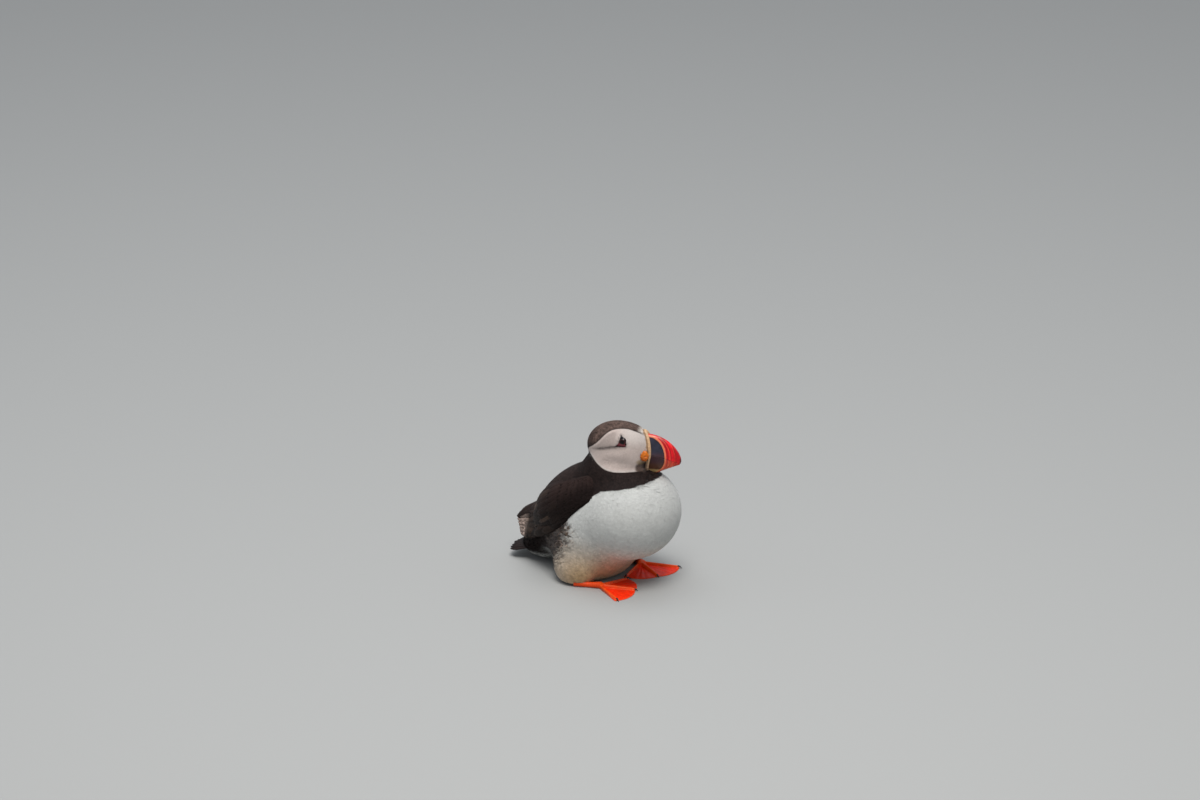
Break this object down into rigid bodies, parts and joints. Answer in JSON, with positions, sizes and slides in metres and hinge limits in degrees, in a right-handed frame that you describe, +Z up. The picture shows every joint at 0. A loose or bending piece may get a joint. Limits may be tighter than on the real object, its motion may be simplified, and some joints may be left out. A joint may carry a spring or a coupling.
{
  "type": "atlantic puffin",
  "caption": "Life-size Atlantic puffin resting on its belly and shanks, webbed feet forward, wings folded, head turned a little left; a still model.",
  "frame": {"origin": "on the ground, below the middle of the bounding box", "axes": "+X the way the body faces, +Y to the bird's left, +Z up"},
  "size_m": [0.1736, 0.1026, 0.1479],
  "materials": {
    "white_plumage": "soft close feathers, white to warm grey",
    "dark_plumage": "close black-brown feathers",
    "face_plumage": "fine plush grey feathers",
    "bill_red": "waxy horn, red with a slate base",
    "bill_cream": "waxy pale skin",
    "gape_skin": "fleshy orange-yellow skin",
    "eye": "wet and glossy, dark brown",
    "eye_plate": "horny slate-grey plate",
    "foot_skin": "scaly orange-red skin",
    "claw": "black horn"
  },
  "bodies": {
    "root": {"trunk": "white_plumage", "neck": "dark_plumage", "head": "face_plumage", "wing_left": "dark_plumage", "wing_right": "dark_plumage", "tail": "dark_plumage", "bill_upper": "bill_red", "bill_lower": "bill_red", "bill_ridge": "bill_cream", "rosette_left": "gape_skin", "rosette_right": "gape_skin", "eye_left": "eye", "eye_right": "eye", "eye_plate_upper_left": "eye_plate", "eye_plate_upper_right": "eye_plate", "eye_plate_lower_left": "eye_plate", "eye_plate_lower_right": "eye_plate", "leg_left": "foot_skin", "leg_right": "foot_skin", "foot_left": "foot_skin", "foot_right": "foot_skin", "claw_left_inner": "claw", "claw_left_middle": "claw", "claw_left_outer": "claw", "claw_right_inner": "claw", "claw_right_middle": "claw", "claw_right_outer": "claw"}
  },
  "joints": []
}
